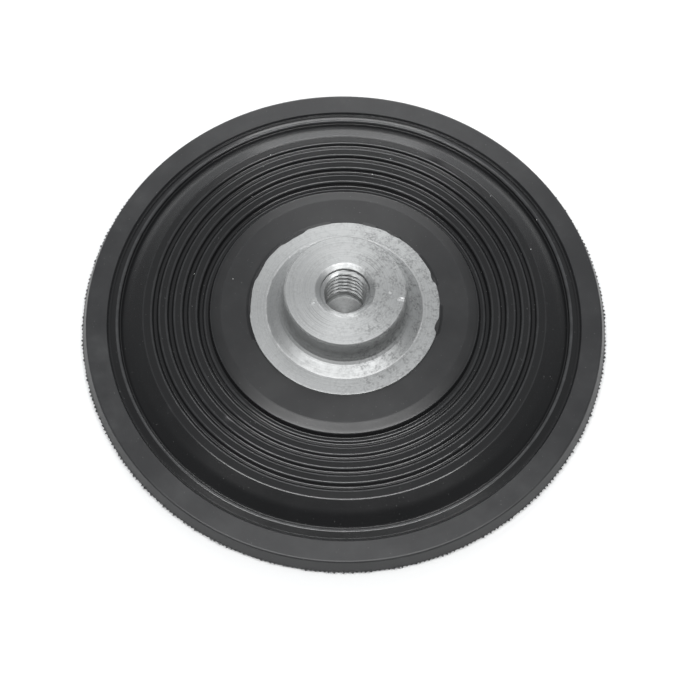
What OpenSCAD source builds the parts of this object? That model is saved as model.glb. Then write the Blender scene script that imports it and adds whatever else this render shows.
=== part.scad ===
// Pump diaphragm: a moulded rubber membrane with a bonded aluminium insert.
// The diaphragm lies on its back face, drive side up, with its axis on +Z.
// Heights called "above the rim" are measured from the rim's flat top.

/* [Rim] */
// Diameter across the trimmed mould flash
overall_d = 110; // [96:1:160]
// Thickness of the clamped rim
rim_h = 4.25; // [3.6:0.05:8]
// Width of the rim's flat top
rim_land_w = 4.25; // [2.5:0.05:8]
// Lean of the side wall between the parting line and the rim's flat top
rim_draft = 1; // [0:0.05:2]
// Rounding of the rim's outer edges
rim_round = 0.5; // [0.1:0.05:0.8]
// Height of the mould's parting line above the back face
parting_h = 1.3; // [0.8:0.1:2.4]
// Distance that the flash stands out of the side wall
flash_w = 0.45; // [0.2:0.05:0.8]
// Thickness of the flash
flash_t = 0.3; // [0.15:0.05:0.6]

/* [Seal groove and bead] */
// Width of the groove inside the rim's flat top
groove_w = 0.7; // [0.4:0.1:2.5]
// Depth of the groove below the rim
groove_depth = 0.5; // [0.1:0.05:1]
// Width of the bead inside the groove
bead_w = 1.6; // [0.4:0.1:2]
// Height of the bead above the rim
bead_h = 0.25; // [0.1:0.05:1]
// Fall of the bead's top towards the groove
bead_fall = 0.75; // [0:0.05:1]
// Rounding of the groove's floor and edges
groove_round = 0.1; // [0.05:0.05:0.3]
// Rounding of the bead's inner edge
bead_round = 0.5; // [0.1:0.05:0.6]

/* [Rolling trough] */
// Depth of the trough's floor below the rim
trough_depth = 0.6; // [0.3:0.1:1.6]
// Width of the trough's floor
trough_floor_w = 0.2; // [0.1:0.1:4]
// Run of the short wall between the bead and the floor
trough_bead_run = 0.35; // [0.2:0.05:2]
// Run of the long wall between the floor and the crest
trough_wall_run = 4.9; // [2:0.1:8]
// Bulge of the long wall above the straight line from the floor to the crest
trough_bulge = 0.2; // [0:0.05:0.6]
// Rounding of the trough's floor
trough_round = 0.15; // [0.05:0.05:2]

/* [Ribbed zone] */
// Height of the outer crest above the rim
crest_h = 2.35; // [1:0.05:5]
// Rounding of the crest
crest_round = 0.8; // [0.2:0.1:2.5]
// Height of the valley at the hub's foot above the rim
valley_h = 1; // [-0.5:0.1:1.5]
// Swell of the zone above the straight line from valley to crest
arch_rise = 0.8; // [0.3:0.1:2.5]
// Distance between neighbouring groove centres
rib_pitch = 3.1; // [2.6:0.05:6]
// Distance from the crest to the first groove's centre
rib_start = 2.5; // [1.6:0.05:4]
// Width of each groove at its mouth
rib_gap = 1.4; // [0.8:0.05:1.8]
// Depth of each groove
rib_depth = 0.8; // [0.4:0.05:1.6]
// Share of the arch's slope that the top of each rib follows
rib_tilt = 0.3; // [0:0.05:1]
// Lean of each groove wall
rib_lean = 0.35; // [0:0.05:0.5]
// Rounding of the rib edges and the groove floors
rib_round = 0.5; // [0.1:0.05:0.6]
// Rubber left between a groove and the back face
web_t = 2.8; // [2:0.1:4]

/* [Hub] */
// Height of the hub above the rim
hub_h = 2.65; // [2:0.05:6]
// Rounding of the hub's edge
hub_round = 1.5; // [0.1:0.1:2.5]
// Run of the slope between the hub's edge and its lip
hub_slope_run = 2.2; // [1:0.05:5]
// Share of the hub's height over the valley that the slope falls
hub_slope_share = 0.34; // [0.2:0.05:0.9]
// Run of the step between the lip and the valley
lip_run = 0.45; // [0.1:0.05:1]
// Rounding of the lip and of the step's foot
lip_round = 0.3; // [0.05:0.05:0.4]
// Rubber around the insert's buried rim
hub_skin = 2.85; // [1.5:0.05:6]
// Rubber over the insert's buried rim
hub_cover = 1.5; // [0.8:0.1:2.5]
// Rubber behind the insert
back_cover = 2.2; // [1.2:0.1:3]

/* [Insert] */
// Diameter of the boss
boss_d = 24.8; // [18:0.2:32]
// Height of the boss above the flange face
boss_h = 7.6; // [5:0.1:16]
// Break of the boss's top edge
boss_edge = 0.3; // [0.1:0.05:1]
// Radius of the fillet between the boss and its conical neck
boss_fillet = 2.65; // [0.5:0.05:4]
// Run of the conical neck between the boss and the flange face
neck_w = 3.75; // [1.5:0.05:6]
// Rise of the conical neck
neck_h = 2.05; // [0.5:0.05:3]
// Width of the bare flange face outside the neck
flange_ring_w = 3.55; // [2:0.05:8]
// Height of the flange face above the hub's rubber
flange_proud = 0.4; // [0.1:0.05:1]
// Distance that the buried rim reaches under the rubber
grip_w = 3; // [1:0.1:6]

/* [Tapped hole] */
// Nominal thread diameter
thread_d = 10; // [6:0.5:12]
// Thread pitch
thread_pitch = 1.5; // [0.75:0.25:1.75]
// Width of the chamfer at the mouth, beyond the thread
mouth_over = 1.1; // [0.1:0.05:1.5]
// Slope of the chamfer, from the boss's end face
mouth_slope = 30; // [20:5:60]
// Metal left under the hole
hole_floor_t = 1.2; // [1:0.1:4]

/* [Hidden] */
arc_steps = 3;
arc_steps_per_mm = 3;
arch_steps = 10;
cut_over = 0.5;
$fn = 180;

// Radii of the rim, groove, bead and trough, from the flash inwards
flash_r = overall_d / 2;
wall_r = flash_r - flash_w;
rim_r = wall_r - rim_draft;
foot_r = wall_r - rim_draft * parting_h / (rim_h - parting_h);
groove_r = rim_r - rim_land_w;
bead_r = groove_r - groove_w;
floor_r = bead_r - bead_w - trough_bead_run;
crest_r = floor_r - trough_floor_w - trough_wall_run;

// Radii of the insert and the hub, from the axis outwards
boss_r = boss_d / 2;
flange_r = boss_r + neck_w + flange_ring_w;
anchor_r = flange_r + grip_w;
hub_r = anchor_r + hub_skin;
lip_r = hub_r + hub_slope_run;
valley_r = lip_r + lip_run;

// Heights above the back face
trough_z = rim_h - trough_depth;
hub_z = rim_h + hub_h;
lip_z = hub_z - hub_slope_share * (hub_h - valley_h);
flange_z = hub_z + flange_proud;
boss_z = flange_z + boss_h;
anchor_z = hub_z - hub_cover;
hole_z = back_cover + hole_floor_t;

// Tapped hole: the bore at the thread's crests and the chamfer at the mouth
tap_d = thread_d - thread_pitch;
mouth_d = thread_d + 2 * mouth_over;
mouth_h = (mouth_d - tap_d) / 2 * tan(mouth_slope);

// Grooves that fit between the crest and the valley
zone_w = crest_r - valley_r;
rib_grooves = max(0, floor((zone_w - rib_start - rib_gap) / rib_pitch) + 1);

// Top of the ribbed zone at radius r
function arch_z(r) =
    let (t = (r - valley_r) / zone_w)
    rim_h + valley_h + (crest_h - valley_h) * t + 4 * arch_rise * t * (1 - t);

// Height at radius r of the rib whose middle is at radius mid
function rib_z(mid, r) =
    let (level = arch_z(max(mid, valley_r)))
    level + rib_tilt * (arch_z(r) - level);

// Back face under the ribbed zone at radius r
function web_z(r) = max(0, arch_z(r) - rib_depth - web_t);

// Unit vector along v
function unit(v) = v / norm(v);

// Length of the side from b to its neighbour that a rounding at b may use
function room(b, neighbour) =
    norm([neighbour[0] - b[0], neighbour[1] - b[1]]) * (neighbour[2] > 0 ? 0.5 : 1);

// Arc that rounds the corner b between a and c, each given as [radius, height, rounding]
function fillet(a, b, c) =
    let (
        corner = [b[0], b[1]],
        u = unit([a[0], a[1]] - corner),
        v = unit([c[0], c[1]] - corner),
        straight = norm(u + v) < 0.001
    )
    b[2] <= 0 || straight ? [corner] :
    let (
        half = acos(u * v) / 2,
        reach = min(b[2] / tan(half), room(b, a), room(b, c)),
        arc_r = reach * tan(half),
        centre = corner + unit(u + v) * arc_r / sin(half),
        from = corner + u * reach - centre,
        to = corner + v * reach - centre,
        start = atan2(from[1], from[0]),
        turn = atan2(from[0] * to[1] - from[1] * to[0], from * to),
        steps = arc_steps + ceil(arc_r * arc_steps_per_mm)
    )
    [for (i = [0 : steps])
        centre + arc_r * [cos(start + turn * i / steps), sin(start + turn * i / steps)]];

// Closed outline from corners given as [radius, height, rounding]
function rounded(corners) =
    let (count = len(corners))
    [for (i = [0 : count - 1])
        each fillet(corners[(i + count - 1) % count], corners[i], corners[(i + 1) % count])];

// Side wall with the flash at the parting line
rim_corners = [
    [foot_r, 0, rim_round],
    [wall_r, parting_h - flash_t / 2, 0],
    [flash_r, parting_h - flash_t / 2, 0],
    [flash_r, parting_h + flash_t / 2, 0],
    [wall_r, parting_h + flash_t / 2, 0],
    [rim_r, rim_h, rim_round]
];

// Crest, and the middle of the long wall
crest_z = rib_z(crest_r - rib_start + rib_pitch / 2, crest_r);
bulge_r = crest_r + trough_wall_run / 2;
bulge_z = (crest_z + trough_z) / 2 + trough_bulge;
bulge_round = 2 * trough_wall_run;

// Groove, bead and rolling trough up to the crest
trough_corners = [
    [groove_r, rim_h, groove_round],
    [groove_r - groove_w / 2, rim_h - groove_depth, groove_round],
    [bead_r, rim_h + bead_h - bead_fall, groove_round],
    [bead_r - bead_w, rim_h + bead_h, bead_round],
    [floor_r, trough_z, trough_round],
    [floor_r - trough_floor_w, trough_z, trough_round],
    [bulge_r, bulge_z, bulge_round],
    [crest_r, crest_z, crest_round]
];

// Four corners of the groove whose centre is at radius r
function rib_groove(r) = [
    [r + rib_gap / 2, rib_z(r + rib_pitch / 2, r + rib_gap / 2), rib_round],
    [r + rib_gap / 2 - rib_lean, arch_z(r) - rib_depth, rib_round],
    [r - rib_gap / 2 + rib_lean, arch_z(r) - rib_depth, rib_round],
    [r - rib_gap / 2, rib_z(r - rib_pitch / 2, r - rib_gap / 2), rib_round]
];

rib_corners = [for (i = [0 : 1 : rib_grooves - 1]) each rib_groove(crest_r - rib_start - i * rib_pitch)];

// Step, hub slope and hub top, then the seat that grips the insert
hub_corners = [
    [valley_r, arch_z(valley_r), lip_round],
    [lip_r, lip_z, lip_round],
    [hub_r, hub_z, hub_round],
    [flange_r, hub_z, 0],
    [flange_r, anchor_z, 0],
    [anchor_r, anchor_z, 0],
    [anchor_r, back_cover, 0],
    [0, back_cover, 0]
];

// Back face: flat hub, hollow that follows the ribbed zone, flat rim
hollow_in_r = lip_r - hub_slope_run / 3;
hollow_out_r = crest_r + trough_wall_run / 2;
hollow_top_r = crest_r - rib_start / 2;
back_corners = [
    [0, 0, 0],
    [hollow_in_r, 0, hub_round],
    for (i = [1 : arch_steps])
        let (r = hollow_in_r + (hollow_top_r - hollow_in_r) * i / arch_steps)
        [r, web_z(r), i == arch_steps ? trough_round : 0],
    [hollow_out_r, 0, trough_round]
];

// Moulded rubber disc with its rim, trough, ribs and hub
module rubber_membrane() {
    color([0.15, 0.155, 0.16])
    rotate_extrude()
    polygon(rounded(concat(rim_corners, trough_corners, rib_corners, hub_corners, back_corners)));
}

// Turned insert with a buried rim, a bare flange, a conical neck, a boss and a tapped blind hole
module threaded_insert() {
    body = rounded([
        [0, back_cover, 0],
        [anchor_r, back_cover, 0],
        [anchor_r, anchor_z, 0],
        [flange_r, anchor_z, 0],
        [flange_r, flange_z, 0],
        [boss_r + neck_w, flange_z, 0],
        [boss_r, flange_z + neck_h, boss_fillet],
        [boss_r, boss_z - boss_edge, 0],
        [boss_r - boss_edge, boss_z, 0],
        [0, boss_z, 0]
    ]);
    color([0.7, 0.71, 0.72])
    difference() {
        rotate_extrude() polygon(body);
        translate([0, 0, hole_z])
        cylinder(h = boss_z - hole_z + cut_over, d = tap_d);
        translate([0, 0, boss_z - mouth_h])
        cylinder(h = mouth_h + cut_over, d1 = tap_d, d2 = mouth_d + 2 * cut_over / tan(mouth_slope));
    }
}

rubber_membrane();
threaded_insert();
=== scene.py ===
"""Looks of the pump diaphragm: moulded rubber, its trimmed flash, the turned insert and the studio."""

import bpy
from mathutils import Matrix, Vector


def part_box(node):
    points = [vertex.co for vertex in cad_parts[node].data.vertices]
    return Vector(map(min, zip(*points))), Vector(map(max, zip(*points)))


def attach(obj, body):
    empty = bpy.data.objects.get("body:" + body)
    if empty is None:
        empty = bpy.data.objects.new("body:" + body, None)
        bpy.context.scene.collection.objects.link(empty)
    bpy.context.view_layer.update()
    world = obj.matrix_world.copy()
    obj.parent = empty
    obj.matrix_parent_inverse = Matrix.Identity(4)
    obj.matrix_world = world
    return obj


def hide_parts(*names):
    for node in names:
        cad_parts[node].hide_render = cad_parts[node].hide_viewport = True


bl_info = {
    "name": "Pump diaphragm",
    "version": (1, 0, 0),
    "blender": (4, 5, 0),
    "location": "View3D > Sidebar > Diaphragm",
    "description": "Builds a moulded rubber pump diaphragm with a bonded aluminium insert",
    "category": "Object",
}

import math

import bpy
import numpy as np
from bpy.props import FloatProperty, FloatVectorProperty, IntProperty, PointerProperty
from mathutils import Matrix, Vector

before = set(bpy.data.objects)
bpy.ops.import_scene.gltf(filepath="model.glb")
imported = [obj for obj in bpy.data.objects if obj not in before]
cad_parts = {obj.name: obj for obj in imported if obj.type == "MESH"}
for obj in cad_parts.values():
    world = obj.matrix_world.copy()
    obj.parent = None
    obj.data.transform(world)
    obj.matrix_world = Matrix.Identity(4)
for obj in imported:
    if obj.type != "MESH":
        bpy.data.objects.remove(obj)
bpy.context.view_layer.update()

MM = 0.001
MEMBRANE_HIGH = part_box("rubber_membrane")[1]
INSERT_LOW, INSERT_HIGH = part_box("threaded_insert")

# Widest turn between two points of an arc, in degrees
ARC_STEP = 16
# Distance from an arc to the point that keeps the flat beside it flat
SUPPORT = 0.06 * MM
# Edges sharper than this stay sharp, in degrees
SHARP_ANGLE = 32
# Points closer than this are one
MERGE = 0.0005 * MM
# Radii between which the rubber turns from the hub's tone to its slope's
HUB_EDGE = (25.4 * MM, 26.6 * MM)
# Radii between which the darker, glossier rubber starts and ends
DARK_ZONE_START = (27.0 * MM, 28.1 * MM)
DARK_ZONE_END = (48.9 * MM, 49.4 * MM)
# Radii between which the hub's tone gives way to the rim's
RIM_SIDE = (40 * MM, 41 * MM)
# Radius of the line where the insert's neck leaves its flange, along which a highlight is painted
NECK_R = 16.15 * MM


# Properties

def length(name, description, millimetres):
    """A size property, stated in millimetres and kept in metres."""
    return number(name, description, millimetres * MM, unit="LENGTH", precision=5)


def number(name, description, value, **kind):
    """A number property, with its unit, subtype or limit where it has one."""
    return FloatProperty(name=name, description=description, default=value, **kind)


def colour(name, description, value):
    """A colour property in linear light."""
    return FloatVectorProperty(
        name=name, description=description, default=value, subtype="COLOR", size=3, min=0, max=1)


class MembraneSizes(bpy.types.PropertyGroup):
    """Sizes of the moulded rubber."""

    overall_r: length("Overall radius", "Radius across the trimmed flash", MEMBRANE_HIGH.x / MM)
    hub_z: length("Hub height", "Height of the hub's top above the back face", MEMBRANE_HIGH.z / MM)
    rim_h: length("Rim", "Thickness of the clamped rim", 4.25)
    rim_land_w: length("Rim land", "Width of the rim's flat top", 4.25)
    rim_draft: length("Rim draft", "Lean of the side wall above the parting line", 1)
    rim_round: length("Rim rounding", "Rounding of the rim's outer edges", 0.5)
    parting_h: length("Parting line", "Height of the parting line above the back face", 1.3)
    flash_w: length("Flash", "Distance that the flash stands out of the side wall", 0.45)
    flash_t: length("Flash thickness", "Thickness of the flash", 0.3)
    groove_w: length("Seal groove", "Width of the groove inside the rim's flat top", 0.7)
    groove_depth: length("Seal groove depth", "Depth of the groove below the rim", 0.5)
    bead_w: length("Bead", "Width of the bead inside the groove", 1.6)
    bead_h: length("Bead height", "Height of the bead above the rim", 0.25)
    bead_fall: length("Bead fall", "Fall of the bead's top towards the groove", 0.75)
    groove_round: length("Groove rounding", "Rounding of the seal groove's floor and edges", 0.1)
    bead_round: length("Bead rounding", "Rounding of the bead's inner edge", 0.5)
    trough_depth: length("Trough depth", "Depth of the trough's floor below the rim", 0.6)
    trough_floor_w: length("Trough floor", "Width of the trough's floor", 0.2)
    trough_bead_run: length("Trough's short wall", "Run of the wall below the bead", 0.35)
    trough_wall_run: length("Trough's long wall", "Run of the wall below the crest", 4.9)
    trough_bulge: length("Trough bulge", "Bulge of the long wall above the straight line", 0.2)
    trough_round: length("Trough rounding", "Rounding of the trough's floor", 0.15)
    crest_h: length("Crest", "Height of the outer crest above the rim", 2.35)
    crest_round: length("Crest rounding", "Rounding of the crest", 0.8)
    valley_h: length("Valley", "Height of the valley at the hub's foot above the rim", 1)
    arch_rise: length("Arch", "Swell of the ribbed zone", 0.8)
    rib_pitch: length("Rib pitch", "Distance between neighbouring grooves", 3.1)
    rib_start: length("First groove", "Distance from the crest to the first groove", 2.5)
    rib_gap: length("Groove width", "Width of each groove at its mouth", 1.4)
    rib_depth: length("Groove depth", "Depth of each groove", 0.8)
    rib_tilt: number("Rib tilt", "Share of the arch's slope that the top of each rib follows", 0.3)
    rib_lean: length("Groove lean", "Lean of each groove wall", 0.35)
    rib_round: length("Rib rounding", "Rounding of the rib edges and the groove floors", 0.5)
    web_t: length("Web", "Rubber between a groove and the back face", 2.8)
    hub_r: length("Hub radius", "Radius of the hub's edge", 25.55)
    hub_round: length("Hub rounding", "Rounding of the hub's edge", 1.5)
    hub_slope_run: length("Hub slope", "Run of the slope between the hub's edge and its lip", 2.2)
    hub_slope_share: number("Slope share", "Share of the hub's height that the slope falls", 0.34)
    lip_run: length("Lip", "Run of the step between the lip and the valley", 0.45)
    lip_round: length("Lip rounding", "Rounding of the lip and of the step's foot", 0.3)
    columns: IntProperty(name="Columns", description="Divisions round the axis", default=340, min=24)


class FlashSizes(bpy.types.PropertyGroup):
    """Sizes of the ragged edge that trimming left at the parting line."""

    teeth: IntProperty(name="Teeth", description="Tooth marks round the edge", default=381, min=3)
    root_r: length("Root", "Radius at which the teeth leave the flash", 54.45)
    tooth_l: length("Tooth length", "Longest tooth from its root", 0.53)
    tooth_w: length("Tooth width", "Width of a tooth at its root", 0.95)
    tooth_t: length("Tooth thickness", "Thickness of a tooth at its root", 0.5)
    film_t: length("Film", "Thickness of the rubber that crept over the insert's flange", 0.07)
    film_foot: length("Film foot", "Distance that the film's foot reaches over the hub", 0.7)
    seed: IntProperty(name="Seed", description="Seed of the tooth marks", default=7, min=0)


class InsertSizes(bpy.types.PropertyGroup):
    """Sizes of the turned insert."""

    anchor_r: length("Buried rim", "Radius of the rim under the rubber", INSERT_HIGH.x / MM)
    back_z: length("Back", "Height of the insert's back", INSERT_LOW.z / MM)
    boss_z: length("Boss height", "Height of the boss's top", INSERT_HIGH.z / MM)
    anchor_z: length("Buried rim height", "Height of the buried rim's top", 5.4)
    flange_r: length("Flange", "Radius of the bare flange", 19.7)
    flange_z: length("Flange height", "Height of the flange face", 7.3)
    flange_edge: length("Flange edge", "Break of the flange's edge", 0.12)
    neck_w: length("Neck", "Run of the conical neck", 3.75)
    neck_h: length("Neck rise", "Rise of the conical neck", 2.05)
    boss_r: length("Boss", "Radius of the boss", 12.4)
    boss_fillet: length("Boss fillet", "Fillet between the boss and its neck", 2.65)
    boss_edge: length("Boss edge", "Break of the boss's top edge", 0.3)
    thread_r: length("Thread", "Nominal radius of the thread", 5)
    thread_pitch: length("Thread pitch", "Pitch of the thread", 1.5)
    mouth_over: length("Mouth", "Width of the mouth's chamfer beyond the thread", 1.1)
    mouth_slope: number(
        "Mouth slope", "Slope of the chamfer from the boss's end face", math.radians(30), subtype="ANGLE")
    hole_z: length("Hole floor", "Height of the hole's floor", 3.4)
    columns: IntProperty(name="Columns", description="Divisions round the axis", default=360, min=24)


class FinishColours(bpy.types.PropertyGroup):
    """Colours of the materials."""

    rubber: colour("Rubber", "Moulded black rubber on the rim", (0.0168, 0.0171, 0.0183))
    # Darker rubber used between the rim and the hub
    rubber_dark: colour("Darker rubber", "Darker rubber between rim and hub", (0.0078, 0.0080, 0.0085))
    # Pale tone on convex edges: partly rubbing wear, partly a painted highlight along the edges
    rubbed: colour("Edge wear and highlight", "Tone of the rubber where an edge is rubbed", (0.11, 0.112, 0.116))
    rubber_pale: colour("Rubber bloom", "Paler bloom and handling marks on the rubber", (0.032, 0.033, 0.034))
    metal: colour("Aluminium", "Bare turned aluminium", (0.44, 0.448, 0.448))
    metal_dull: colour("Oxide", "Dull stain on the aluminium", (0.23, 0.234, 0.234))
    dust: colour("Dust", "Specks of dust and lint", (0.75, 0.76, 0.74))
    floor: colour("Floor", "Plain white floor", (0.82, 0.825, 0.825))


class StudioSettings(bpy.types.PropertyGroup):
    """Camera and lights."""

    lens: number("Lens", "Focal length on a 36 mm sensor", 79.34, unit="CAMERA")
    camera_y: length("Camera in front", "Distance from the axis to the camera", 137.12)
    camera_z: length("Camera height", "Height of the camera above the floor", 288.66)
    roll: number("Roll", "Turn of the camera about its own axis", math.radians(1.67), subtype="ANGLE")
    room: number("Room light", "Strength of the room's own light", 0.36, min=0)
    window: number("Low window", "Power of the low window behind the object", 1.2, unit="POWER")
    back: number("Back softbox", "Power of the back softbox", 1.4, unit="POWER")
    top: number("Top softbox", "Power of the top softbox", 7.2, unit="POWER")
    glow: number("Floor glow", "White that the floor adds where it is mirrored", 0.8)


# Outlines

def corner_room(corner, neighbour):
    """Length of the side from corner to neighbour that a rounding may use."""
    side = math.dist(corner[:2], neighbour[:2])
    return side * (0.5 if neighbour[2] > 0 else 1)


def corner_arc(before, corner, after):
    """Points of the arc that rounds a corner, each corner given as (radius, height, rounding)."""
    middle = np.array(corner[:2])
    to_before = np.array(before[:2]) - middle
    to_after = np.array(after[:2]) - middle
    to_before /= np.linalg.norm(to_before)
    to_after /= np.linalg.norm(to_after)
    bisector = to_before + to_after
    if corner[2] <= 0 or np.linalg.norm(bisector) < 0.001:
        return [middle]
    half = math.acos(float(np.clip(to_before @ to_after, -1, 1))) / 2
    reach = min(corner[2] / math.tan(half), corner_room(corner, before), corner_room(corner, after))
    radius = reach * math.tan(half)
    centre = middle + bisector / np.linalg.norm(bisector) * radius / math.sin(half)
    start = middle + to_before * reach - centre
    end = middle + to_after * reach - centre
    first = math.atan2(start[1], start[0])
    turn = math.atan2(start[0] * end[1] - start[1] * end[0], float(start @ end))
    steps = max(3, math.ceil(abs(math.degrees(turn)) / ARC_STEP))
    angles = first + turn * np.arange(steps + 1) / steps
    return [centre + radius * np.array([math.cos(a), math.sin(a)]) for a in angles]


def rounded_outline(corners):
    """Open outline through the corners, with arcs and with support points beside them."""
    points = [np.array(corners[0][:2])]
    for before, corner, after in zip(corners, corners[1:], corners[2:]):
        points.extend(corner_arc(before, corner, after))
    points.append(np.array(corners[-1][:2]))
    outline = [points[0]]
    for start, end in zip(points, points[1:]):
        side = end - start
        size = np.linalg.norm(side)
        if size < MERGE:
            continue
        if size > 5 * SUPPORT:
            outline.append(start + side / size * SUPPORT)
            outline.append(end - side / size * SUPPORT)
        outline.append(end)
    return outline


def valley_radius(s):
    """Radius of the valley at the foot of the hub's step."""
    return s.hub_r + s.hub_slope_run + s.lip_run


def arch_height(s, radius):
    """Top of the ribbed zone at a radius."""
    valley_r = valley_radius(s)
    t = (radius - valley_r) / (crest_radius(s) - valley_r)
    return s.rim_h + s.valley_h + (s.crest_h - s.valley_h) * t + 4 * s.arch_rise * t * (1 - t)


def rib_height(s, middle, radius):
    """Height at a radius of the rib whose middle is at the radius middle."""
    level = arch_height(s, max(middle, valley_radius(s)))
    return level + s.rib_tilt * (arch_height(s, radius) - level)


def bead_radius(s):
    """Outer radius of the bead."""
    return s.overall_r - s.flash_w - s.rim_draft - s.rim_land_w - s.groove_w


def crest_radius(s):
    """Radius of the crest above the trough."""
    return bead_radius(s) - s.bead_w - s.trough_bead_run - s.trough_floor_w - s.trough_wall_run


def rim_corners(s):
    """Back edge, side wall with the flash, and top edge of the rim, from the back upwards."""
    wall_r = s.overall_r - s.flash_w
    rim_r = wall_r - s.rim_draft
    foot_r = wall_r - s.rim_draft * s.parting_h / (s.rim_h - s.parting_h)
    flash_r = s.overall_r - 0.9 * s.flash_w
    return [
        (foot_r, 0, s.rim_round),
        (wall_r, s.parting_h - s.flash_t / 2, 0),
        (flash_r, s.parting_h - s.flash_t / 3, 0),
        (flash_r, s.parting_h + s.flash_t / 3, 0),
        (wall_r, s.parting_h + s.flash_t / 2, 0),
        (rim_r, s.rim_h, s.rim_round),
    ]


def trough_corners(s):
    """Groove, bead and rolling trough, from the rim inwards to the crest."""
    bead_r = bead_radius(s)
    groove_r = bead_r + s.groove_w
    floor_r = bead_r - s.bead_w - s.trough_bead_run
    crest_r = crest_radius(s)
    crest_z = rib_height(s, crest_r - s.rib_start + s.rib_pitch / 2, crest_r)
    floor_z = s.rim_h - s.trough_depth
    return [
        (groove_r, s.rim_h, s.groove_round),
        (groove_r - s.groove_w / 2, s.rim_h - s.groove_depth, s.groove_round),
        (bead_r, s.rim_h + s.bead_h - s.bead_fall, s.groove_round),
        (bead_r - s.bead_w, s.rim_h + s.bead_h, s.bead_round),
        (floor_r, floor_z, s.trough_round),
        (floor_r - s.trough_floor_w, floor_z, s.trough_round),
        (crest_r + s.trough_wall_run / 2, (crest_z + floor_z) / 2 + s.trough_bulge, 2 * s.trough_wall_run),
        (crest_r, crest_z, s.crest_round),
    ]


def rib_corners(s):
    """Grooves between the ribs, from the crest inwards."""
    crest_r = crest_radius(s)
    zone = crest_r - valley_radius(s)
    corners = []
    for i in range(int((zone - s.rib_start - s.rib_gap) / s.rib_pitch) + 1):
        middle = crest_r - s.rib_start - i * s.rib_pitch
        outer, inner = middle + s.rib_gap / 2, middle - s.rib_gap / 2
        floor_z = arch_height(s, middle) - s.rib_depth
        corners += [
            (outer, rib_height(s, middle + s.rib_pitch / 2, outer), s.rib_round),
            (outer - s.rib_lean, floor_z, s.rib_round),
            (inner + s.rib_lean, floor_z, s.rib_round),
            (inner, rib_height(s, middle - s.rib_pitch / 2, inner), s.rib_round),
        ]
    return corners


def hub_corners(s, insert):
    """Step, hub slope, hub top and the seat round the insert, ending on the axis."""
    valley_r = valley_radius(s)
    lip_z = s.hub_z - s.hub_slope_share * (s.hub_z - s.rim_h - s.valley_h)
    return [
        (valley_r, arch_height(s, valley_r), s.lip_round),
        (s.hub_r + s.hub_slope_run, lip_z, s.lip_round),
        (s.hub_r, s.hub_z, s.hub_round),
        (insert.flange_r, s.hub_z, 0),
        (insert.flange_r, insert.anchor_z, 0),
        (insert.anchor_r, insert.anchor_z, 0),
        (insert.anchor_r, insert.back_z, 0),
        (0, insert.back_z, 0),
    ]


def back_corners(s):
    """Back face from the axis out: flat hub, hollow that follows the ribbed zone, flat rim."""
    steps = 10
    inner = s.hub_r + s.hub_slope_run * 2 / 3
    outer = crest_radius(s) + s.trough_wall_run / 2
    top = crest_radius(s) - s.rib_start / 2
    corners = [(0, 0, 0), (inner, 0, s.hub_round)]
    for i in range(1, steps + 1):
        radius = inner + (top - inner) * i / steps
        height = max(0, arch_height(s, radius) - s.rib_depth - s.web_t)
        corners.append((radius, height, s.trough_round if i == steps else 0))
    return corners + [(outer, 0, s.trough_round)]


def membrane_outline(s, insert):
    """Section of the rubber, from the axis at the back, round the rim, to the axis at the seat."""
    corners = back_corners(s) + rim_corners(s) + trough_corners(s) + rib_corners(s) + hub_corners(s, insert)
    return rounded_outline(corners)


def mouth_radius(s, height):
    """Radius of the chamfer at the hole's mouth, at each height."""
    return s.thread_r + s.mouth_over - (s.boss_z - height) / math.tan(s.mouth_slope)


def insert_outline(s):
    """Section of the insert, from the axis at the back, round the flange and boss, to the hole's floor."""
    body = rounded_outline([
        (0, s.back_z, 0),
        (s.anchor_r, s.back_z, 0),
        (s.anchor_r, s.anchor_z, 0),
        (s.flange_r, s.anchor_z, 0),
        (s.flange_r, s.flange_z, s.flange_edge),
        (s.boss_r + s.neck_w, s.flange_z, 0),
        (s.boss_r, s.flange_z + s.neck_h, s.boss_fillet),
        (s.boss_r, s.boss_z - s.boss_edge, 0),
        (s.boss_r - s.boss_edge, s.boss_z, 0),
    ])
    # Rows on the boss's top that carry its dents
    face_step = 0.25 * MM
    rim_r, mouth_r = s.boss_r - s.boss_edge, s.thread_r + s.mouth_over
    steps = round((rim_r - mouth_r) / face_step)
    face = [np.array([rim_r + (mouth_r - rim_r) * i / steps, s.boss_z]) for i in range(1, steps + 1)]
    # Rows down the hole that carry the thread
    row_step = 0.1 * MM
    crest_r = s.thread_r - s.thread_pitch / 2
    rows = round((s.boss_z - s.hole_z) / row_step)
    hole = []
    for i in range(1, rows + 1):
        height = s.boss_z + (s.hole_z - s.boss_z) * i / rows
        hole.append(np.array([max(crest_r, mouth_radius(s, height)), height]))
    return body + face + hole + [np.array([0, s.hole_z])]


# Nodes

def add(tree, kind, inputs=None, **settings):
    """New node with its settings, and with each given input linked or set."""
    made = tree.nodes.new(kind)
    for key, value in settings.items():
        setattr(made, key, value)
    for key, value in (inputs or {}).items():
        feed(tree, made.inputs[key], value)
    return made


def feed(tree, socket, value):
    """Links a socket to another, or sets its own value."""
    if isinstance(value, bpy.types.NodeSocket):
        tree.links.new(value, socket)
    else:
        socket.default_value = value


def maths(tree, operation, *values):
    """Result of a Math node."""
    made = add(tree, "ShaderNodeMath", operation=operation)
    for socket, value in zip(made.inputs, values):
        feed(tree, socket, value)
    return made.outputs[0]


def parts_of(tree, place):
    """X, Y and Z of a position."""
    return add(tree, "ShaderNodeSeparateXYZ", {0: place}).outputs


def plus(tree, first, second):
    """Sum of two values."""
    return maths(tree, "ADD", first, second)


def times(tree, first, second):
    """Product of two values."""
    return maths(tree, "MULTIPLY", first, second)


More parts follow.
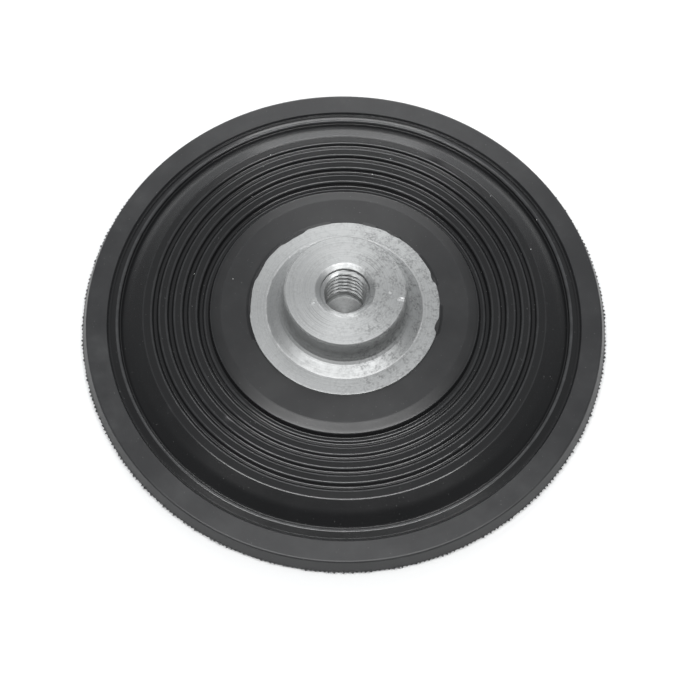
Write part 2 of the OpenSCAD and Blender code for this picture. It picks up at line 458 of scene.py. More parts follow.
def geometry_tree(name, inputs):
    """New geometry node tree with named inputs, and its input and output nodes."""
    tree = bpy.data.node_groups.new(name, "GeometryNodeTree")
    for label, kind in inputs:
        tree.interface.new_socket(name=label, in_out="INPUT", socket_type=kind)
    tree.interface.new_socket(name="Geometry", in_out="OUTPUT", socket_type="NodeSocketGeometry")
    return tree, add(tree, "NodeGroupInput").outputs, add(tree, "NodeGroupOutput").inputs


def end_tree(tree, geometry, material, output):
    """Closes a tree with Realize Instances and Set Material."""
    real = add(tree, "GeometryNodeRealizeInstances", {"Geometry": geometry}).outputs[0]
    dressed = add(tree, "GeometryNodeSetMaterial", {"Geometry": real, "Material": material})
    tree.links.new(dressed.outputs[0], output["Geometry"])


def turning_tree():
    """Tree that turns an outline, given as a chain of points in the XZ plane, about the Z axis."""
    tree, given, output = geometry_tree("turned outline", [
        ("Outline", "NodeSocketGeometry"), ("Columns", "NodeSocketInt"),
        ("Merge", "NodeSocketFloat"), ("Material", "NodeSocketMaterial")])
    size = add(tree, "GeometryNodeAttributeDomainSize", {"Geometry": given["Outline"]}).outputs["Point Count"]
    around = plus(tree, given["Columns"], 1)
    grid = add(tree, "GeometryNodeMeshGrid", {"Vertices X": around, "Vertices Y": size}).outputs["Mesh"]
    index = add(tree, "GeometryNodeInputIndex").outputs[0]
    place = add(tree, "GeometryNodeInputPosition").outputs[0]
    row = maths(tree, "FLOORED_MODULO", index, size)
    column = maths(tree, "FLOOR", maths(tree, "DIVIDE", plus(tree, index, 0.5), size))
    angle = times(tree, maths(tree, "DIVIDE", column, given["Columns"]), 2 * math.pi)
    sample = add(
        tree, "GeometryNodeSampleIndex",
        {"Geometry": given["Outline"]}, data_type="FLOAT_VECTOR", domain="POINT")
    tree.links.new(place, sample.inputs["Value"])
    tree.links.new(row, sample.inputs["Index"])
    parts = parts_of(tree, sample.outputs[0])
    turned = add(tree, "ShaderNodeCombineXYZ", {
        "X": times(tree, parts["X"], maths(tree, "COSINE", angle)),
        "Y": times(tree, parts["X"], maths(tree, "SINE", angle)),
        "Z": parts["Z"]}).outputs[0]
    moved = add(tree, "GeometryNodeSetPosition", {"Geometry": grid, "Position": turned}).outputs[0]
    joined = add(tree, "GeometryNodeMergeByDistance", {
        "Geometry": moved, "Distance": given["Merge"]}).outputs[0]
    end_tree(tree, joined, given["Material"], output)
    return tree


def teeth_tree():
    """Tree that sets small pointed teeth round a circle, each with its own length, width and lean."""
    tree, given, output = geometry_tree("trimmed teeth", [
        ("Geometry", "NodeSocketGeometry"), ("Teeth", "NodeSocketInt"), ("Radius", "NodeSocketFloat"),
        ("Height", "NodeSocketFloat"), ("Length", "NodeSocketFloat"), ("Width", "NodeSocketFloat"),
        ("Thickness", "NodeSocketFloat"), ("Seed", "NodeSocketInt"), ("Material", "NodeSocketMaterial")])
    ring = add(tree, "GeometryNodeMeshCircle", {
        "Vertices": given["Teeth"], "Radius": given["Radius"]}).outputs[0]
    lift = add(tree, "ShaderNodeCombineXYZ", {"Z": given["Height"]}).outputs[0]
    raised = add(tree, "GeometryNodeSetPosition", {"Geometry": ring, "Offset": lift}).outputs[0]
    tooth = add(tree, "GeometryNodeMeshCone", {
        "Vertices": 6, "Radius Top": 0.12, "Radius Bottom": 0.5, "Depth": 1.0}).outputs["Mesh"]
    place = add(tree, "GeometryNodeInputPosition").outputs[0]
    parts = parts_of(tree, place)
    azimuth = maths(tree, "ARCTAN2", parts["Y"], parts["X"])

    def chance(low, high, salt):
        """Random value of each tooth."""
        made = add(tree, "FunctionNodeRandomValue", data_type="FLOAT")
        made.inputs[2].default_value, made.inputs[3].default_value = low, high
        tree.links.new(plus(tree, given["Seed"], salt), made.inputs["Seed"])
        return made.outputs[1]

    turn = add(tree, "ShaderNodeCombineXYZ", {
        "X": 0.0, "Y": math.pi / 2, "Z": plus(tree, azimuth, chance(-0.5, 0.5, 1))}).outputs[0]
    turned = add(tree, "FunctionNodeEulerToRotation", {0: turn}).outputs[0]
    size = add(tree, "ShaderNodeCombineXYZ", {
        "X": times(tree, given["Thickness"], chance(0.6, 1.0, 2)),
        "Y": times(tree, given["Width"], chance(0.6, 1.1, 3)),
        "Z": times(tree, given["Length"], chance(0.45, 1.0, 4))}).outputs[0]
    placed = add(tree, "GeometryNodeInstanceOnPoints", {
        "Points": raised, "Instance": tooth, "Rotation": turned, "Scale": size}).outputs[0]
    end_tree(tree, placed, given["Material"], output)
    return tree


def specks_tree():
    """Tree that sets a small uneven speck on each given point."""
    tree, given, output = geometry_tree("dust specks", [
        ("Points", "NodeSocketGeometry"), ("Size", "NodeSocketFloat"),
        ("Seed", "NodeSocketInt"), ("Material", "NodeSocketMaterial")])
    speck = add(tree, "GeometryNodeMeshIcoSphere", {
        "Radius": given["Size"], "Subdivisions": 2}).outputs["Mesh"]
    size = add(tree, "FunctionNodeRandomValue", data_type="FLOAT_VECTOR")
    size.inputs[0].default_value, size.inputs[1].default_value = (0.6, 0.6, 0.35), (1.5, 1.0, 0.6)
    tree.links.new(given["Seed"], size.inputs["Seed"])
    spin = add(tree, "FunctionNodeRandomValue", data_type="FLOAT_VECTOR")
    spin.inputs[0].default_value, spin.inputs[1].default_value = (0, 0, 0), (0, 0, 2 * math.pi)
    tree.links.new(given["Seed"], spin.inputs["Seed"])
    turned = add(tree, "FunctionNodeEulerToRotation", {0: spin.outputs[0]}).outputs[0]
    placed = add(tree, "GeometryNodeInstanceOnPoints", {
        "Points": given["Points"], "Instance": speck, "Rotation": turned,
        "Scale": size.outputs[0]}).outputs[0]
    end_tree(tree, placed, given["Material"], output)
    return tree


# Meshes

def grown(name, base, tree, values):
    """Object that a geometry node tree makes from a base mesh, as a plain mesh."""
    maker = bpy.data.objects.new(name, base)
    bpy.context.scene.collection.objects.link(maker)
    modifier = maker.modifiers.new("shape", "NODES")
    modifier.node_group = tree
    for item in tree.interface.items_tree:
        if item.in_out == "INPUT" and item.name in values:
            modifier[item.identifier] = values[item.name]
    depsgraph = bpy.context.evaluated_depsgraph_get()
    mesh = bpy.data.meshes.new_from_object(
        maker.evaluated_get(depsgraph), preserve_all_data_layers=True, depsgraph=depsgraph)
    maker.modifiers.remove(modifier)
    maker.data = mesh
    mesh.name = name
    bpy.data.meshes.remove(base)
    return maker


def chain(points):
    """Mesh of the given points joined in a row."""
    mesh = bpy.data.meshes.new("outline")
    mesh.from_pydata([(p[0], 0, p[1]) for p in points], [(i, i + 1) for i in range(len(points) - 1)], [])
    return mesh


def turned(name, outline, columns, material):
    """Object turned from an outline."""
    return grown(name, chain(outline), turning_tree(), {
        "Columns": columns, "Merge": MERGE, "Material": material})


def read_points(mesh):
    """Positions of a mesh's vertices."""
    flat = np.zeros(len(mesh.vertices) * 3, np.float32)
    mesh.vertices.foreach_get("co", flat)
    return flat.reshape(-1, 3).astype(float)


def write_points(mesh, points):
    """Moves a mesh's vertices."""
    mesh.vertices.foreach_set("co", points.astype(np.float32).ravel())
    mesh.update()


def polar(points):
    """Radius and azimuth of points."""
    return np.hypot(points[:, 0], points[:, 1]), np.arctan2(points[:, 1], points[:, 0])


def apart(azimuth, degrees):
    """Angle from an azimuth in degrees, in radians, from -pi to pi."""
    return (azimuth - math.radians(degrees) + math.pi) % (2 * math.pi) - math.pi


def close(piece, smooth=True):
    """Turns a closed mesh's faces outwards and shades it."""
    mesh = piece.data
    points = read_points(mesh)
    mesh.calc_loop_triangles()
    corners = np.zeros(len(mesh.loop_triangles) * 3, np.int32)
    mesh.loop_triangles.foreach_get("vertices", corners)
    a, b, c = (points[corners.reshape(-1, 3)[:, i]] for i in range(3))
    if np.einsum("ij,ij->i", a, np.cross(b, c)).sum() < 0:
        mesh.flip_normals()
    mesh.polygons.foreach_set("use_smooth", [smooth] * len(mesh.polygons))
    if smooth:
        mesh.set_sharp_from_angle(angle=math.radians(SHARP_ANGLE))
    mesh.update()


def keep(piece, slot, *nodes):
    """Hands a finished piece to the frame."""
    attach(piece, "root")
    if nodes:
        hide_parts(*nodes)


# Materials

def new_material(name):
    """New node material, with its tree, its shader and the object coordinates."""
    made = bpy.data.materials.new(name)
    made.use_nodes = True
    tree = made.node_tree
    shader = tree.nodes["Principled BSDF"]
    place = add(tree, "ShaderNodeTexCoord").outputs["Object"]
    return made, tree, shader, place


def noise(tree, place, scale, detail=2.0, roughness=0.5):
    """Value of a 3-D noise."""
    return add(tree, "ShaderNodeTexNoise", {
        "Vector": place, "Scale": scale, "Detail": detail, "Roughness": roughness}).outputs[0]


def line_noise(tree, position, scale, detail=2.0):
    """Value of a noise that changes along one number alone, as turned lines do along the radius."""
    return add(tree, "ShaderNodeTexNoise", {
        "W": position, "Scale": scale, "Detail": detail}, noise_dimensions="1D").outputs[0]


def between(tree, value, low, high, to_low=0.0, to_high=1.0):
    """Value mapped from one range to another, held at the ends."""
    return add(tree, "ShaderNodeMapRange", {
        "Value": value, "From Min": low, "From Max": high, "To Min": to_low, "To Max": to_high}).outputs[0]


def blended(tree, factor, first, second):
    """Colour between two colours."""
    made = add(tree, "ShaderNodeMix", data_type="RGBA")
    feed(tree, made.inputs[0], factor)
    feed(tree, made.inputs[6], first if isinstance(first, bpy.types.NodeSocket) else (*first, 1))
    feed(tree, made.inputs[7], second if isinstance(second, bpy.types.NodeSocket) else (*second, 1))
    return made.outputs[2]


def radius_of(tree, place):
    """Distance from the axis."""
    parts = parts_of(tree, place)
    flat = add(tree, "ShaderNodeCombineXYZ", {"X": parts["X"], "Y": parts["Y"]}).outputs[0]
    return add(tree, "ShaderNodeVectorMath", {0: flat}, operation="LENGTH").outputs["Value"]


def bumped(tree, height, strength, distance, under=None):
    """Normal with a bump on it."""
    made = add(tree, "ShaderNodeBump", {"Height": height, "Strength": strength, "Distance": distance})
    if under:
        tree.links.new(under, made.inputs["Normal"])
    return made.outputs[0]


def spot(tree, parts, x, y, size):
    """Soft round spot: one at its middle, nothing beyond its size."""
    across = maths(tree, "SUBTRACT", parts["X"], x)
    along = maths(tree, "SUBTRACT", parts["Y"], y)
    square = plus(tree, times(tree, across, across), times(tree, along, along))
    return between(tree, square, 0.0, size * size, 1.0, 0.0)


def dress(tree, shader, tone, gloss, normal):
    """Gives a shader its colour, roughness and normal."""
    for name, value in (("Base Color", tone), ("Roughness", gloss), ("Normal", normal)):
        tree.links.new(value, shader.inputs[name])


def follow_turning(tree, shader, level):
    """Stretches a shader's highlights across the circles round the axis."""
    shader.inputs["Anisotropic"].default_value = level
    shader.inputs["Anisotropic Rotation"].default_value = 0.25
    tangent = add(tree, "ShaderNodeTangent", direction_type="RADIAL", axis="Z").outputs[0]
    tree.links.new(tangent, shader.inputs["Tangent"])


def rubber_finish(colours):
    """Satin black rubber: mould grain, faint turned lines from the mould, bloom and fine dust, darker and
    glossier rubber between rim and hub, and a pale tone on convex edges that is partly edge wear and partly
    painted highlight.
    """
    made, tree, shader, place = new_material("moulded_rubber")
    radius = radius_of(tree, place)
    cloud = noise(tree, place, 90, 4, 0.6)
    patch = noise(tree, place, 420, 3, 0.6)
    grain = noise(tree, place, 5200, 2)
    lines = line_noise(tree, radius, 2600, 3)
    bloom = times(tree, between(tree, cloud, 0.4, 0.7), between(tree, patch, 0.3, 0.7, 0.3, 1.0))
    speck = between(tree, noise(tree, place, 3000, 1), 0.76, 0.80)
    # The rubber is darker and glossier between the rim and the hub than on them
    rim_and_hub = plus(
        tree, between(tree, radius, *DARK_ZONE_END), between(tree, radius, *DARK_ZONE_START, 1.0, 0.0))
    tone = blended(tree, bloom, colours.rubber, colours.rubber_pale)
    paler_share = maths(
        tree, "MAXIMUM", between(tree, radius, *HUB_EDGE, 0.5, 0.2), between(tree, radius, *RIM_SIDE))
    paler_share = times(tree, rim_and_hub, paler_share)
    tone = blended(tree, paler_share, colours.rubber_dark, tone)
    # Pale tone on convex edges, partly edge wear and partly a painted highlight along them
    rubbed = add(tree, "ShaderNodeAttribute", attribute_type="GEOMETRY", attribute_name="rubbed")
    rubbed = times(tree, rubbed.outputs["Fac"], between(tree, patch, 0.3, 0.7, 0.5, 1.0))
    tone = blended(tree, rubbed, tone, colours.rubbed)
    tone = blended(tree, times(tree, speck, 0.12), tone, colours.dust)
    gloss = plus(
        tree, between(tree, cloud, 0.3, 0.7, 0.36, 0.44), between(tree, grain, 0.3, 0.7, -0.03, 0.05))
    gloss = times(tree, gloss, between(tree, rim_and_hub, 0.0, 1.0, 0.54, 1.0))
    normal = bumped(tree, grain, 0.09, 0.02 * MM)
    normal = bumped(tree, lines, 0.02, 0.02 * MM, normal)
    dress(tree, shader, tone, gloss, normal)
    shader.inputs["Specular IOR Level"].default_value = 0.5
    follow_turning(tree, shader, 0.45)
    return made


def aluminium_finish(colours):
    """Turned aluminium: concentric tool marks, dull mottled stain, a painted reflection that shows the tool
    marks stronger in two spots on the boss, and a painted highlight round the neck's edge.
    """
    made, tree, shader, place = new_material("turned_aluminium")
    radius = radius_of(tree, place)
    parts = parts_of(tree, place)
    mottle = noise(tree, place, 650, 4, 0.65)
    pepper = noise(tree, place, 2300, 2, 0.6)
    lines = line_noise(tree, radius, 3200, 4)
    side = between(tree, parts["X"], -2 * MM, 6 * MM, 0.4, 1.0)
    stain = times(tree, between(tree, mottle, 0.40, 0.60), side)
    stain = times(tree, stain, between(tree, pepper, 0.38, 0.58, 0.15, 1.0))
    tone = blended(tree, stain, colours.metal, colours.metal_dull)
    # Painted reflection: the tool marks are drawn darker and plainer in two spots on the boss's top, where
    # the highlight shows them; elsewhere they stay faint
    reflection_spots = plus(
        tree, spot(tree, parts, 5.6 * MM, 6.4 * MM, 3.4 * MM),
        spot(tree, parts, -5.8 * MM, -6.6 * MM, 3.8 * MM))
    reflection_spots = plus(tree, times(tree, reflection_spots, 0.5), 0.3)
    tone = blended(
        tree, times(tree, between(tree, lines, 0.50, 0.64), reflection_spots),
        tone, colours.metal_dull)
    # Painted highlight: a pale line round the edge where the neck leaves the flange, broken up by the mottle
    neck_highlight = maths(tree, "ABSOLUTE", maths(tree, "SUBTRACT", radius, NECK_R))
    neck_highlight = times(
        tree, between(tree, neck_highlight, 0.05 * MM, 0.3 * MM, 0.4, 0.0), between(tree, mottle, 0.4, 0.65))
    tone = blended(tree, neck_highlight, tone, (0.8, 0.8, 0.8))
    gloss = plus(
        tree, between(tree, mottle, 0.3, 0.7, 0.38, 0.52), between(tree, lines, 0.3, 0.7, -0.05, 0.06))
    normal = bumped(tree, mottle, 0.25, 0.03 * MM)
    normal = bumped(tree, lines, 0.20, 0.02 * MM, normal)
    dress(tree, shader, tone, gloss, normal)
    shader.inputs["Metallic"].default_value = 1.0
    follow_turning(tree, shader, 0.35)
    return made


def dust_finish(colours):
    """Pale matt dust with an uneven tone."""
    made, tree, shader, place = new_material("pale_dust")
    tone = blended(
        tree, noise(tree, place, 9000), colours.dust, tuple(0.6 * c for c in colours.dust))
    tree.links.new(tone, shader.inputs["Base Color"])
    shader.inputs["Roughness"].default_value = 0.9
    return made


def finish(name, make):
    """The named material, made at its first use."""
    return bpy.data.materials.get(name) or make(bpy.context.scene.diaphragm_colours)


def rubber():
    """The rubber's material."""
    return finish("moulded_rubber", rubber_finish)


# Operators

class DIAPHRAGM_OT_membrane(bpy.types.Operator):
    """Turns the rubber's section, marks the convex edges that get a pale tone of edge wear and painted
    highlight, and adds the nicks that handling left in the ribs
    """

    bl_idname = "diaphragm.membrane"
    bl_label = "Moulded membrane"

    # Azimuth and radius of each nick, its width along the rib and its depth
    nicks = (
        (227.3, 33.8 * MM, 0.9 * MM, 0.16 * MM),
        (215.1, 41.5 * MM, 1.2 * MM, 0.14 * MM),
        (308.0, 38.3 * MM, 0.8 * MM, 0.10 * MM),
        (62.0, 39.8 * MM, 0.9 * MM, 0.10 * MM),
    )

    # Inner and outer radius of the zone whose convex edges get the pale tone, partly edge wear and partly
    # painted highlight
    edge_wear_and_highlight_zone = (27.3 * MM, 48.2 * MM)
    # Curvature at which an edge starts to get the pale tone, and at which it gets most of it
    rubbed_from, rubbed_to = 0.6 / MM, 1.8 / MM
    # Radius at which the bead's zone starts, and how much of the pale tone the bead and the ribs get
    bead_from = 46 * MM
    bead_share, rib_share = 0.4, 0.2

    def mark_edge_wear_and_highlight(self, piece, outline, points, radius):
        """Stores how much each vertex lies on a convex outer edge, which gets a pale tone that is partly edge
        wear and partly painted highlight.
        """
        rubbed = np.zeros(len(points), np.float32)
        for before, here, after in zip(outline, outline[1:], outline[2:]):
            one, two = here - before, after - here
            sizes = np.linalg.norm(one) * np.linalg.norm(two)
            turn = math.asin(max(-1, min(1, (one[0] * two[1] - one[1] * two[0]) / sizes)))
            sharp = 2 * turn / (np.linalg.norm(one) + np.linalg.norm(two))
            if sharp < self.rubbed_from or not self.edge_wear_and_highlight_zone[0] < here[0] < self.edge_wear_and_highlight_zone[1]:
                continue
            near = (np.abs(radius - here[0]) < 2 * MERGE) & (np.abs(points[:, 2] - here[1]) < 2 * MERGE)
            share = self.bead_share if here[0] > self.bead_from else self.rib_share
            rubbed[near] = share * min(1, (sharp - self.rubbed_from) / (self.rubbed_to - self.rubbed_from))
        piece.data.attributes.new("rubbed", "FLOAT", "POINT").data.foreach_set("value", rubbed)

    def execute(self, context):
        s = context.scene.diaphragm_membrane
        outline = membrane_outline(s, context.scene.diaphragm_insert)
        piece = turned("membrane", outline, s.columns, rubber())
        points = read_points(piece.data)
        radius, azimuth = polar(points)
        self.mark_edge_wear_and_highlight(piece, outline, points, radius)
        top = points[:, 2] > s.rim_h
        for degrees, nick_r, width, depth in self.nicks:
            along = apart(azimuth, degrees) * nick_r / width
            across = (radius - nick_r) / (0.35 * MM)
            points[:, 2] -= np.where(top, depth * np.exp(-along ** 2 - across ** 2), 0)
        write_points(piece.data, points)
        close(piece)
        keep(piece, "rubber", "rubber_membrane")
        return {"FINISHED"}


class DIAPHRAGM_OT_flash(bpy.types.Operator):
    """Sets the trimmed teeth round the rim's parting line"""

    bl_idname = "diaphragm.flash"
    bl_label = "Trimmed flash"

    def execute(self, context):
        s = context.scene.diaphragm_flash
        height = context.scene.diaphragm_membrane.parting_h
        piece = grown("rim_flash", bpy.data.meshes.new("empty"), teeth_tree(), {
            "Teeth": s.teeth, "Radius": s.root_r, "Height": height, "Length": s.tooth_l,
            "Width": s.tooth_w, "Thickness": s.tooth_t, "Seed": s.seed, "Material": rubber()})
        close(piece, smooth=False)
        keep(piece, "rubber")
        return {"FINISHED"}


class DIAPHRAGM_OT_film(bpy.types.Operator):
    """Lays the ragged film of rubber that crept over the insert's flange"""

    bl_idname = "diaphragm.film"
    bl_label = "Flange film"

    columns = 720
    # First and last azimuth of each patch, and how far it creeps over the flange
    patches = (
        (100, 117, 0.22 * MM), (117, 134, 0.62 * MM), (134, 151, 0.34 * MM), (151, 163, 0.50 * MM),
        (163, 173, 0.30 * MM), (173, 186, 0.42 * MM), (186, 204, 0.16 * MM),
        (345, 352, 0.75 * MM), (352, 363, 0.25 * MM), (18, 24, 0.55 * MM), (24, 40, 0.18 * MM),
        (56, 64, 0.30 * MM), (72, 80, 0.25 * MM),
    )

    def creep(self, azimuth):
        """How far the film creeps over the flange at each azimuth."""
        soft = math.radians(0.7)
        reach = np.zeros_like(azimuth)
        for first, last, patch in self.patches:
            middle, half = (first + last) / 2, math.radians((last - first) / 2)
            reach += patch / (1 + np.exp((np.abs(apart(azimuth, middle)) - half) / soft))
        ripple = sum(np.sin(k * azimuth + k * k) / k for k in (23, 37, 58, 91, 143)) * 2.2
        return reach * (1 + 0.55 * ripple)

    def execute(self, context):
        s, insert = context.scene.diaphragm_flash, context.scene.diaphragm_insert
        hub_z = context.scene.diaphragm_membrane.hub_z
        azimuth = np.arange(self.columns) * 2 * math.pi / self.columns
        reach = self.creep(azimuth)
        there = np.clip(reach / (0.12 * MM), 0, 1)
        edge, top = insert.flange_r, insert.flange_z
        sunk = 0.15 * MM
        foot = hub_z - sunk + sunk * there
        crown = foot + (top + s.film_t - foot) * there
        lip = edge + 0.05 * MM - reach
        rings = [
            (edge + s.film_foot, np.full(self.columns, hub_z - sunk)),
            (edge + s.film_foot, foot - 0.02 * MM),
            (edge + s.film_foot * 0.45, foot + (crown - foot) * 0.3),
            (edge + 0.12 * MM, foot + (crown - foot) * 0.85),
            (np.minimum(edge, lip + 0.12 * MM), crown),
            (lip, foot + (top + 0.3 * s.film_t - foot) * there),
            (lip, foot + (top - 0.1 * MM - foot) * there - 0.02 * MM),
            (edge - 0.15 * MM - reach, np.full(self.columns, hub_z - 2 * sunk)),
        ]
        points, faces = [], []
        for radius, height in rings:
            radius = np.broadcast_to(radius, azimuth.shape)
            points.extend(zip(radius * np.cos(azimuth), radius * np.sin(azimuth), height))
        for ring in range(len(rings)):
            here, after = ring * self.columns, (ring + 1) % len(rings) * self.columns
            for i in range(self.columns):
                j = (i + 1) % self.columns
                faces.append((here + i, here + j, after + j, after + i))
        mesh = bpy.data.meshes.new("flange_film")
        mesh.from_pydata([tuple(map(float, p)) for p in points], [], faces)
        mesh.materials.append(rubber())
        piece = bpy.data.objects.new("flange_film", mesh)
        context.scene.collection.objects.link(piece)
        close(piece)
        keep(piece, "rubber")
        return {"FINISHED"}


class DIAPHRAGM_OT_insert(bpy.types.Operator):
    """Turns the insert, cuts its thread and adds the dents on its boss"""

    bl_idname = "diaphragm.insert"
    bl_label = "Turned insert"

    # Azimuth and radius of each dent, its reach along the circle and along the radius, and its depth
    dents = (
        (351.5, 11.8 * MM, 0.24 * MM, 0.8 * MM, 0.16 * MM),
        (359.5, 9.0 * MM, 0.45 * MM, 0.3 * MM, 0.10 * MM),
        (325.8, 7.6 * MM, 0.4 * MM, 0.25 * MM, 0.08 * MM),
        (204.0, 6.9 * MM, 0.3 * MM, 0.3 * MM, 0.08 * MM),
        (30.0, 11.6 * MM, 0.4 * MM, 0.3 * MM, 0.06 * MM),
    )

    def thread_radius(self, s, azimuth, height):
        """Radius of the tapped hole with its right-hand thread."""
        crest_r = s.thread_r - s.thread_pitch / 2
        u = np.mod(height / s.thread_pitch - azimuth / (2 * math.pi), 1)
        wave = np.clip((np.abs(2 * u - 1) - 0.22) / 0.66, 0, 1)
        run_out = np.clip((height - s.hole_z - 0.6 * MM) / (1.2 * MM), 0, 1)
        run_in = np.clip((height - s.boss_z + 1.5 * MM) / (0.4 * MM), 0, 1)
        return crest_r + (s.thread_r - crest_r) * np.maximum(wave * run_out, run_in)

    def execute(self, context):
        s = context.scene.diaphragm_insert
        piece = turned(
            "insert", insert_outline(s), s.columns, finish("turned_aluminium", aluminium_finish))
        points = read_points(piece.data)
        radius, azimuth = polar(points)
        height = points[:, 2].copy()
        mouth_r = s.thread_r + s.mouth_over
        hole = (radius > MM) & (radius < mouth_r - 0.01 * MM) & (height > s.hole_z + 0.01 * MM)
        cut = np.maximum(self.thread_radius(s, azimuth, height), mouth_radius(s, height))
        new_radius = np.where(hole, cut, radius)
        points[:, 0] = np.where(hole, new_radius * np.cos(azimuth), points[:, 0])
        points[:, 1] = np.where(hole, new_radius * np.sin(azimuth), points[:, 1])
        top = height > s.boss_z - s.boss_edge - 0.01 * MM
        for degrees, dent_r, around, across, depth in self.dents:
            along = apart(azimuth, degrees) * dent_r / around
            aside = (radius - dent_r) / across
            points[:, 2] -= np.where(top & ~hole, depth * np.exp(-along ** 2 - aside ** 2), 0)
        write_points(piece.data, points)
        close(piece)
        keep(piece, "aluminium", "threaded_insert")
        return {"FINISHED"}


class DIAPHRAGM_OT_dust(bpy.types.Operator):
    """Scatters the few specks of dust that lie on the rubber"""

    bl_idname = "diaphragm.dust"
    bl_label = "Dust specks"

    size, seed = 0.11 * MM, 3
    # Azimuth and radius of each speck
    places = (
        (115, 40.0 * MM), (128, 33.3 * MM), (167, 32.4 * MM), (166, 24.1 * MM), (81, 33.1 * MM),
        (76, 37.1 * MM), (42, 41.1 * MM), (21, 41.6 * MM), (30, 46.9 * MM),
    )

    def execute(self, context):
        s = context.scene.diaphragm_membrane
        outline = np.array(membrane_outline(s, context.scene.diaphragm_insert))
        points = []
        for degrees, radius in self.places:
            heights = [
                a[1] + (b[1] - a[1]) * (radius - a[0]) / (b[0] - a[0])
                for a, b in zip(outline, outline[1:]) if (a[0] - radius) * (b[0] - radius) < 0]
            angle = math.radians(degrees)
            points.append((radius * math.cos(angle), radius * math.sin(angle), max(heights)))
        mesh = bpy.data.meshes.new("places")
        mesh.from_pydata(points, [], [])
        piece = grown("dust_specks", mesh, specks_tree(), {
            "Size": self.size, "Seed": self.seed, "Material": finish("pale_dust", dust_finish)})
        close(piece, smooth=False)
        keep(piece, "rubber")
        return {"FINISHED"}


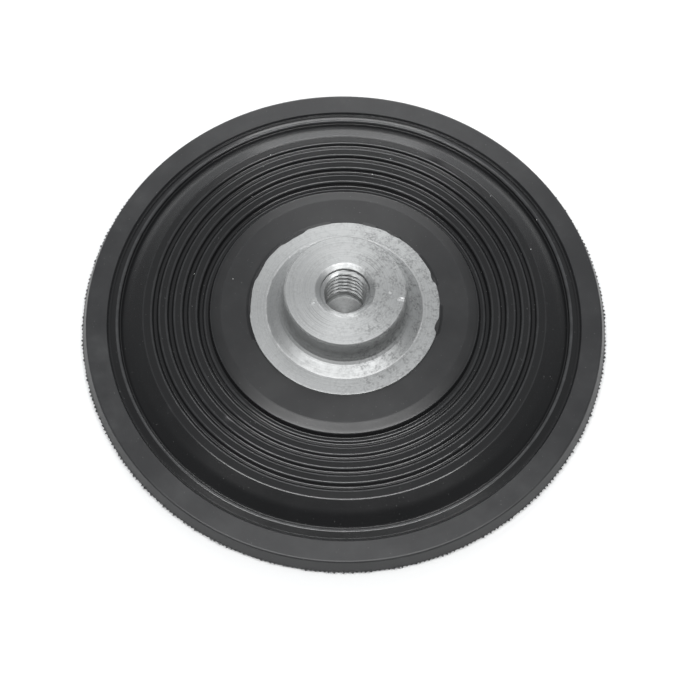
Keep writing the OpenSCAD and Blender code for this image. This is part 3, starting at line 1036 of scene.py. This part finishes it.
class DIAPHRAGM_OT_stage(bpy.types.Operator):
    """Lays the white floor and sets the studio lights and the camera"""

    bl_idname = "diaphragm.stage"
    bl_label = "Stage"

    # Half the floor's width, and the point that the camera looks at
    floor_r = 8.0
    aim = Vector((0.18, -7.24, 4.25)) * MM
    # Name, azimuth, elevation and size of each softbox, all at one distance from the object
    softboxes = (
        ("window", 92, 13, (0.45, 0.17)),
        ("back", 88, 43, (0.5, 0.15)),
        ("top", 270, 76, (0.85, 0.18)),
    )
    distance = 0.8

    def lay_floor(self, context):
        """White floor that keeps the shadow and is seen as white."""
        made, tree, shader, place = new_material("white_floor")
        colours, studio = context.scene.diaphragm_colours, context.scene.diaphragm_studio
        shade = blended(tree, noise(tree, place, 3, 2), colours.floor, 0.99 * colours.floor)
        tree.links.new(shade, shader.inputs["Base Color"])
        shader.inputs["Roughness"].default_value = 0.9
        shader.inputs["Specular IOR Level"].default_value = 0.0
        path = add(tree, "ShaderNodeLightPath").outputs
        seen = maths(tree, "MAXIMUM", path["Is Glossy Ray"], path["Is Transmission Ray"])
        shader.inputs["Emission Color"].default_value = (1, 1, 1, 1)
        # Painted shade: the floor's glow in reflections fades out in front of the object, as if the camera's
        # side shaded it
        behind = parts_of(tree, place)["Y"]
        seen = times(tree, seen, between(tree, behind, -0.02, 0.06))
        tree.links.new(times(tree, seen, studio.glow), shader.inputs["Emission Strength"])
        r = self.floor_r
        mesh = bpy.data.meshes.new("floor")
        mesh.from_pydata([(-r, -r, 0), (r, -r, 0), (r, r, 0), (-r, r, 0)], [], [(0, 1, 2, 3)])
        mesh.materials.append(made)
        floor = bpy.data.objects.new("floor", mesh)
        context.scene.collection.objects.link(floor)

    def light_room(self, context):
        """Room light, brighter behind the object and overhead, dim on the camera's side."""
        studio = context.scene.diaphragm_studio
        world = bpy.data.worlds.new("studio")
        world.use_nodes = True
        tree = world.node_tree
        ray = add(tree, "ShaderNodeTexCoord").outputs["Generated"]
        parts = parts_of(tree, ray)
        behind = between(tree, plus(tree, parts["Y"], parts["Z"]), -0.5, 0.9, 0.03, 1.1)
        low = between(tree, parts["Z"], 0.1, 0.4, 1.0, 0.0)
        low = times(tree, between(tree, parts["Y"], 0.55, 0.9, 0.0, 1.5), low)
        behind = plus(tree, behind, low)
        backdrop = tree.nodes["Background"]
        backdrop.inputs["Color"].default_value = (0.98, 1.0, 1.02, 1)
        tree.links.new(times(tree, behind, studio.room), backdrop.inputs["Strength"])
        context.scene.world = world

    def hang_light(self, context, name, azimuth, elevation, size, power):
        """Rectangular softbox that faces the object."""
        across, up = math.radians(azimuth), math.radians(elevation)
        place = self.distance * Vector((
            math.cos(up) * math.cos(across), math.cos(up) * math.sin(across), math.sin(up)))
        light = bpy.data.lights.new(name, "AREA")
        light.shape = "RECTANGLE"
        light.size, light.size_y = size
        light.energy = power
        lamp = bpy.data.objects.new(name, light)
        lamp.location = place
        lamp.rotation_euler = place.to_track_quat("Z", "Y").to_euler()
        context.scene.collection.objects.link(lamp)

    def set_camera(self, context):
        """Camera at the photograph's viewing angle."""
        studio = context.scene.diaphragm_studio
        data = bpy.data.cameras.new("camera")
        data.lens = studio.lens
        camera = bpy.data.objects.new("camera", data)
        place = Vector((0, -studio.camera_y, studio.camera_z))
        turn = (place - self.aim).to_track_quat("Z", "Y").to_matrix().to_4x4()
        camera.matrix_world = Matrix.Translation(place) @ turn @ Matrix.Rotation(studio.roll, 4, "Z")
        context.scene.collection.objects.link(camera)
        context.scene.camera = camera

    def execute(self, context):
        studio = context.scene.diaphragm_studio
        self.lay_floor(context)
        self.light_room(context)
        for name, azimuth, elevation, size in self.softboxes:
            self.hang_light(context, name, azimuth, elevation, size, getattr(studio, name))
        self.set_camera(context)
        context.scene.view_settings.view_transform = "Standard"
        return {"FINISHED"}


class DIAPHRAGM_PT_sidebar(bpy.types.Panel):
    """Lists the pieces of the diaphragm"""

    bl_idname = "DIAPHRAGM_PT_sidebar"
    bl_label = "Pump diaphragm"
    bl_space_type = "VIEW_3D"
    bl_region_type = "UI"
    bl_category = "Diaphragm"

    def draw(self, context):
        for operator in OPERATORS:
            self.layout.operator(operator.bl_idname)
        for settings in SETTINGS:
            group = getattr(context.scene, settings)
            box = self.layout.box()
            for key in group.bl_rna.properties.keys():
                if key not in ("rna_type", "name"):
                    box.prop(group, key)


SETTINGS = {
    "diaphragm_membrane": MembraneSizes,
    "diaphragm_flash": FlashSizes,
    "diaphragm_insert": InsertSizes,
    "diaphragm_colours": FinishColours,
    "diaphragm_studio": StudioSettings,
}
OPERATORS = (
    DIAPHRAGM_OT_membrane, DIAPHRAGM_OT_flash, DIAPHRAGM_OT_film,
    DIAPHRAGM_OT_insert, DIAPHRAGM_OT_dust, DIAPHRAGM_OT_stage,
)


def register():
    for made in (*SETTINGS.values(), *OPERATORS, DIAPHRAGM_PT_sidebar):
        bpy.utils.register_class(made)
    for key, group in SETTINGS.items():
        setattr(bpy.types.Scene, key, PointerProperty(type=group))


def unregister():
    for key in SETTINGS:
        delattr(bpy.types.Scene, key)
    for made in reversed((*SETTINGS.values(), *OPERATORS, DIAPHRAGM_PT_sidebar)):
        bpy.utils.unregister_class(made)


def main():
    register()
    bpy.ops.diaphragm.membrane()
    bpy.ops.diaphragm.flash()
    bpy.ops.diaphragm.film()
    bpy.ops.diaphragm.insert()
    bpy.ops.diaphragm.dust()
    bpy.ops.diaphragm.stage()


if __name__ == "__main__":
    main()
